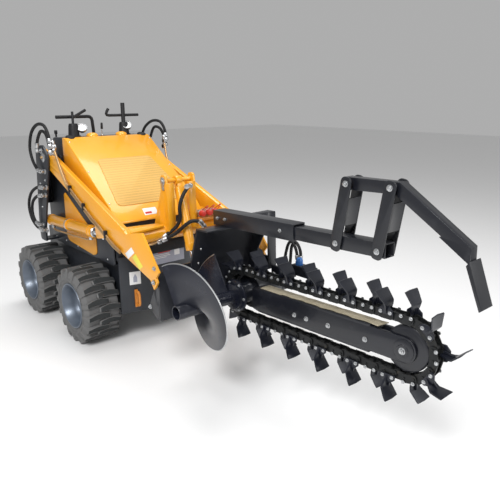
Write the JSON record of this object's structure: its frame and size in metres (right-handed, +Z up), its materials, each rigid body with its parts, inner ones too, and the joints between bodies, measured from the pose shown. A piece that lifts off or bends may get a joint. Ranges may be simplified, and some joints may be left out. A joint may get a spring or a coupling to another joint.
{
  "type": "mini skid steer loader",
  "caption": "Mini skid steer loader with a raised chain trencher, spoil auger and crumber bar on its quick attach plate.",
  "frame": {"origin": "on the ground under the middle of the whole object", "axes": "+X forwards, along the boom; +Y to the machine's left; +Z up"},
  "size_m": [3.4524, 1.005, 1.4503],
  "materials": {
    "axle_steel": "satin",
    "black_paint": "satin",
    "black_plastic": "matte",
    "dark_paint": "satin",
    "engine_iron": "matte",
    "grille_tan": "satin",
    "hook_orange": "satin",
    "rim_paint": "satin",
    "rod_chrome": "polished",
    "tyre": "matte",
    "yellow_paint": "satin"
  },
  "bodies": {
    "chassis": {"chassis_tub": "dark_paint", "hood": "yellow_paint", "hood_grille": "grille_tan", "rear_console": "dark_paint", "rear_deck": "dark_paint", "engine_block": "engine_iron", "front_bumper": "black_plastic", "operator_platform": "black_paint", "control_lever_left_hand": "black_plastic", "control_lever_right_hand": "black_plastic", "hand_rail": "black_plastic", "front_axle": "axle_steel", "rear_axle": "axle_steel", "side_panel_right": "dark_paint", "side_vent_right": "yellow_paint", "tower_right": "dark_paint", "arm_pin_right": "axle_steel", "lift_pin_right": "axle_steel", "tow_hook_right": "hook_orange", "side_panel_left": "dark_paint", "side_vent_left": "yellow_paint", "tower_left": "dark_paint", "arm_pin_left": "axle_steel", "lift_pin_left": "axle_steel", "tow_hook_left": "hook_orange"},
    "wheel_front_right": {"tyre_front_right": "tyre", "rim_front_right": "rim_paint"},
    "wheel_front_left": {"tyre_front_left": "tyre", "rim_front_left": "rim_paint"},
    "wheel_rear_right": {"tyre_rear_right": "tyre", "rim_rear_right": "rim_paint"},
    "wheel_rear_left": {"tyre_rear_left": "tyre", "rim_rear_left": "rim_paint"},
    "loader_arms": {"loader_arm_right": "yellow_paint", "loader_arm_left": "yellow_paint", "arm_cross_tube": "yellow_paint"},
    "lift_barrel_right": {"lift_barrel_right": "yellow_paint"},
    "lift_rod_right": {"lift_rod_right": "rod_chrome"},
    "lift_barrel_left": {"lift_barrel_left": "yellow_paint"},
    "lift_rod_left": {"lift_rod_left": "rod_chrome"},
    "tilt_barrel": {"tilt_barrel": "yellow_paint"},
    "tilt_rod": {"tilt_rod": "rod_chrome"},
    "tool": {"quick_attach_plate": "black_paint", "trencher_frame": "black_paint", "drive_housing": "black_paint", "trencher_boom": "black_paint", "nose_idler": "black_paint", "digging_chain": "black_paint", "crumber_sleeve": "black_paint", "crumber_tube": "black_paint"},
    "auger": {"spoil_auger": "black_paint"},
    "crumber_rear_link": {"crumber_rear_link": "black_paint"},
    "crumber_front_link": {"crumber_front_link": "black_paint"},
    "crumber_arm": {"crumber_arm": "black_paint"}
  },
  "joints": [
    {"name": "wheel_front_right_spin", "type": "hinge", "parent": "chassis", "child": "wheel_front_right", "pos_m": [-0.61593, -0.3825, 0.2394], "axis": [0, 1, 0], "continuous": true},
    {"name": "wheel_front_left_spin", "type": "hinge", "parent": "chassis", "child": "wheel_front_left", "pos_m": [-0.61593, 0.3825, 0.2394], "axis": [0, 1, 0], "continuous": true},
    {"name": "wheel_rear_right_spin", "type": "hinge", "parent": "chassis", "child": "wheel_rear_right", "pos_m": [-1.30093, -0.3825, 0.2394], "axis": [0, 1, 0], "continuous": true},
    {"name": "wheel_rear_left_spin", "type": "hinge", "parent": "chassis", "child": "wheel_rear_left", "pos_m": [-1.30093, 0.3825, 0.2394], "axis": [0, 1, 0], "continuous": true},
    {"name": "loader_lift", "type": "hinge", "parent": "chassis", "child": "loader_arms", "pos_m": [-1.08193, 0, 1.11], "axis": [0, -1, 0], "range_deg": [0, 58]},
    {"name": "lift_barrel_swing_right", "type": "hinge", "parent": "chassis", "child": "lift_barrel_right", "pos_m": [-1.22093, -0.347, 0.675], "axis": [0, -1, 0], "range_deg": [0, 42.5]},
    {"name": "lift_rod_slide_right", "type": "slide", "parent": "lift_barrel_right", "child": "lift_rod_right", "axis": [0.999, 0, 0.0445], "range_m": [0, 0.3595]},
    {"name": "lift_barrel_swing_left", "type": "hinge", "parent": "chassis", "child": "lift_barrel_left", "pos_m": [-1.22093, 0.347, 0.675], "axis": [0, -1, 0], "range_deg": [0, 42.5]},
    {"name": "lift_rod_slide_left", "type": "slide", "parent": "lift_barrel_left", "child": "lift_rod_left", "axis": [0.999, 0, 0.0445], "range_m": [0, 0.3595]},
    {"name": "tool_tilt", "type": "hinge", "parent": "loader_arms", "child": "tool", "pos_m": [0.18707, 0, 0.575], "axis": [0, -1, 0], "range_deg": [-50, 15]},
    {"name": "tilt_barrel_swing", "type": "hinge", "parent": "loader_arms", "child": "tilt_barrel", "pos_m": [-0.13093, 0, 1.03], "axis": [0, -1, 0], "range_deg": [-4.3, 1.3]},
    {"name": "tilt_rod_slide", "type": "slide", "parent": "tilt_barrel", "child": "tilt_rod", "axis": [0.2827, 0, -0.9592], "range_m": [-0.166, 0.05]},
    {"name": "auger_spin", "type": "hinge", "parent": "tool", "child": "auger", "pos_m": [0.46407, 0, 0.505], "axis": [0, 1, 0], "continuous": true},
    {"name": "crumber_rear_link_swing", "type": "hinge", "parent": "tool", "child": "crumber_rear_link", "pos_m": [1.0842, 0, 0.90205], "axis": [0, 1, 0], "range_deg": [-25, 34]},
    {"name": "crumber_front_link_swing", "type": "hinge", "parent": "tool", "child": "crumber_front_link", "pos_m": [1.29206, 0, 0.90953], "axis": [0, 1, 0], "range_deg": [-25, 34]},
    {"name": "crumber_arm_swing", "type": "hinge", "parent": "crumber_rear_link", "child": "crumber_arm", "pos_m": [1.12369, 0, 1.156], "axis": [0, 1, 0], "range_deg": [-34, 25]}
  ],
  "couplings": [
    {"joint": "lift_barrel_swing_right", "follows": "loader_lift", "ratio": 0.72},
    {"joint": "lift_rod_slide_right", "follows": "loader_lift", "m_per_rad": 0.355},
    {"joint": "lift_barrel_swing_left", "follows": "loader_lift", "ratio": 0.72},
    {"joint": "lift_rod_slide_left", "follows": "loader_lift", "m_per_rad": 0.355},
    {"joint": "tilt_barrel_swing", "follows": "tool_tilt", "ratio": 0.085},
    {"joint": "tilt_rod_slide", "follows": "tool_tilt", "m_per_rad": 0.19},
    {"joint": "crumber_front_link_swing", "follows": "crumber_rear_link_swing", "ratio": 1},
    {"joint": "crumber_arm_swing", "follows": "crumber_rear_link_swing", "ratio": -1}
  ]
}
